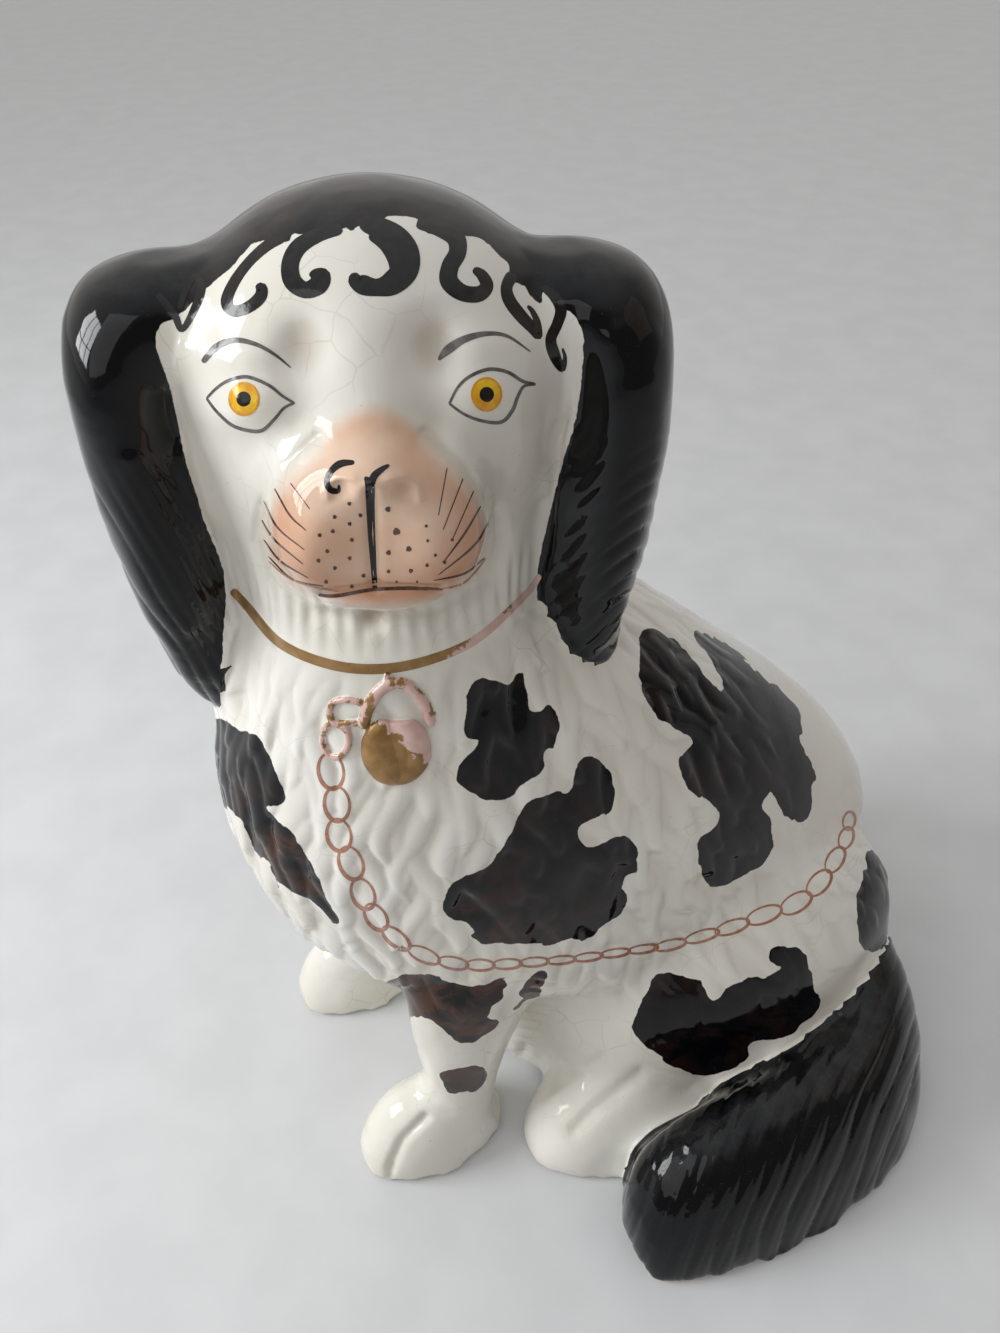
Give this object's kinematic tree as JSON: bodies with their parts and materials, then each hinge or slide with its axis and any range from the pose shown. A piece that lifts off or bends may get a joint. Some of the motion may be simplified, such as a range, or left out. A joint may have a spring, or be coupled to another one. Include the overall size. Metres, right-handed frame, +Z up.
{
  "type": "staffordshire dog figure",
  "caption": "Seated spaniel mantel figure in glazed earthenware, head turned to the viewer, with hanging ears, standing forelegs, a curled tail, black patches and a gilt chain with padlock",
  "frame": {"origin": "middle of the figure's footprint, on the surface that it stands on", "axes": "+Z up; the dog's body faces -X; the display side, which the face looks towards, is -Y"},
  "size_m": [0.2394, 0.1958, 0.318],
  "materials": {
    "white_glaze": "glossy",
    "black_glaze": "glossy",
    "bare_clay": "matt",
    "gilding": "satin"
  },
  "bodies": {
    "root": {"body_front_shell": "white_glaze", "body_back_shell": "white_glaze", "face_shell": "white_glaze", "nape_shell": "white_glaze", "left_ear": "black_glaze", "right_ear": "black_glaze", "left_foreleg": "white_glaze", "right_foreleg": "white_glaze", "tail": "black_glaze", "base_slab": "bare_clay", "padlock": "gilding"}
  },
  "joints": []
}
